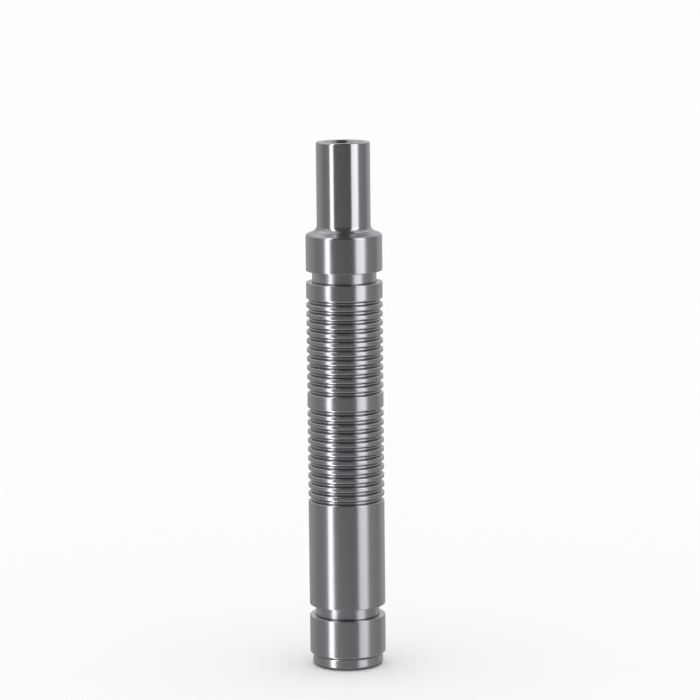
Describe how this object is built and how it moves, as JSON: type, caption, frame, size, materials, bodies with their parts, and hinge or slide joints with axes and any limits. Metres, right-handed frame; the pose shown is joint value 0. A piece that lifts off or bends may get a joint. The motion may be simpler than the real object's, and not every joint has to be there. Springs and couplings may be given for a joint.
{
  "type": "safety razor handle",
  "caption": "Slim turned metal razor handle with ribbed grip zones, a stepped foot and a tapped neck.",
  "frame": {"origin": "centre of the standing face at the foot", "axes": "+Z along the handle's axis, from the foot to the neck's end"},
  "size_m": [0.012, 0.012, 0.0831],
  "materials": {
    "steel": "satin, fine turning marks round the axis"
  },
  "bodies": {
    "root": {"handle": "steel"}
  },
  "joints": []
}
